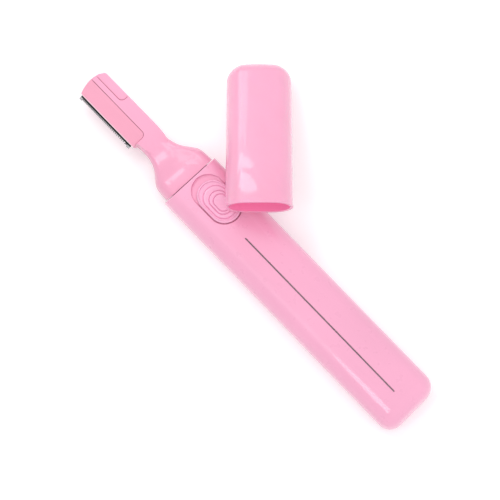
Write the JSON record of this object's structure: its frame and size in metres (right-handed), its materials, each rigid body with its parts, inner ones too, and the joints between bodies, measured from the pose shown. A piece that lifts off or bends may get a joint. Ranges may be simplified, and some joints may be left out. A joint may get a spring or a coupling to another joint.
{
  "type": "electric eyebrow trimmer",
  "caption": "Slim battery eyebrow trimmer lying on its back: flat rounded handle with a slide switch, a narrow comb-bladed head, and its cap leant on it.",
  "frame": {"origin": "point on the handle's flat back, on its centre line, half-way between the head's tip and the butt", "axes": "-X toward the head's tip, -Y toward the blades, +Z out of the front face with the switch"},
  "size_m": [0.1464, 0.0568, 0.0281],
  "materials": {
    "shell_plastic": "opaque pink, soft gloss",
    "head_plastic": "opaque light pink, soft gloss",
    "plate_plastic": "opaque pink, soft gloss",
    "cap_plastic": "opaque pink, high gloss",
    "knob_plastic": "opaque light pink, satin",
    "trim_metal": "silver foil line",
    "blade_steel": "ground stainless steel",
    "steel": "plain steel",
    "spring_metal": "nickel plated",
    "brass": "stamped strip",
    "copper": "copper alloy strip",
    "white_plastic": "moulded, matt",
    "dark_plastic": "moulded, matt",
    "cell_jacket": "plain sleeve over a metal can"
  },
  "bodies": {
    "handle": {"front_shell": "shell_plastic", "back_shell": "shell_plastic", "trim_line": "trim_metal", "case_screw_1": "steel", "case_screw_2": "steel", "chassis": "white_plastic", "lever_pivot_pin": "steel", "motor_can": "steel", "motor_bushing": "brass", "motor_end_cap": "dark_plastic", "battery_cell": "cell_jacket", "negative_spring": "spring_metal", "negative_contact": "spring_metal", "negative_strip": "brass", "positive_strip": "brass", "switch_strip": "brass", "head_front_half": "head_plastic", "head_back_half": "head_plastic", "fixed_blade": "blade_steel", "blade_plate": "plate_plastic"},
    "rotor": {"motor_rotor": "steel", "eccentric_cam": "white_plastic"},
    "lever": {"drive_lever": "white_plastic"},
    "blade": {"drive_rod": "steel", "blade_carrier": "white_plastic", "moving_blade": "blade_steel"},
    "switch": {"switch_knob": "knob_plastic", "switch_carriage": "dark_plastic", "switch_contact": "copper"},
    "cover": {"battery_cover": "shell_plastic"},
    "cap": {"cap": "cap_plastic"}
  },
  "joints": [
    {"name": "motor_spin", "type": "hinge", "parent": "handle", "child": "rotor", "pos_m": [-0.00747, 0, 0.0065], "axis": [1, 0, 0], "continuous": true},
    {"name": "lever_swing", "type": "hinge", "parent": "handle", "child": "lever", "pos_m": [-0.01868, 0, 0.0065], "axis": [0, 0, 1], "range_deg": [-7.25, 7.25]},
    {"name": "blade_slide", "type": "slide", "parent": "handle", "child": "blade", "axis": [1, 0, 0], "range_m": [-0.00043, 0.00043]},
    {"name": "switch_slide", "type": "slide", "parent": "handle", "child": "switch", "axis": [-1, 0, 0], "range_m": [0, 0.002]},
    {"name": "battery_cover_slide", "type": "slide", "parent": "handle", "child": "cover", "axis": [1, 0, 0], "range_m": [0, 0.06]},
    {"name": "cap_lift", "type": "slide", "parent": "handle", "child": "cap", "axis": [0, 0, 1], "range_m": [0, 0.04]}
  ],
  "couplings": [
    {"joint": "lever_swing", "follows": "blade_slide", "rad_per_m": 294.12}
  ]
}
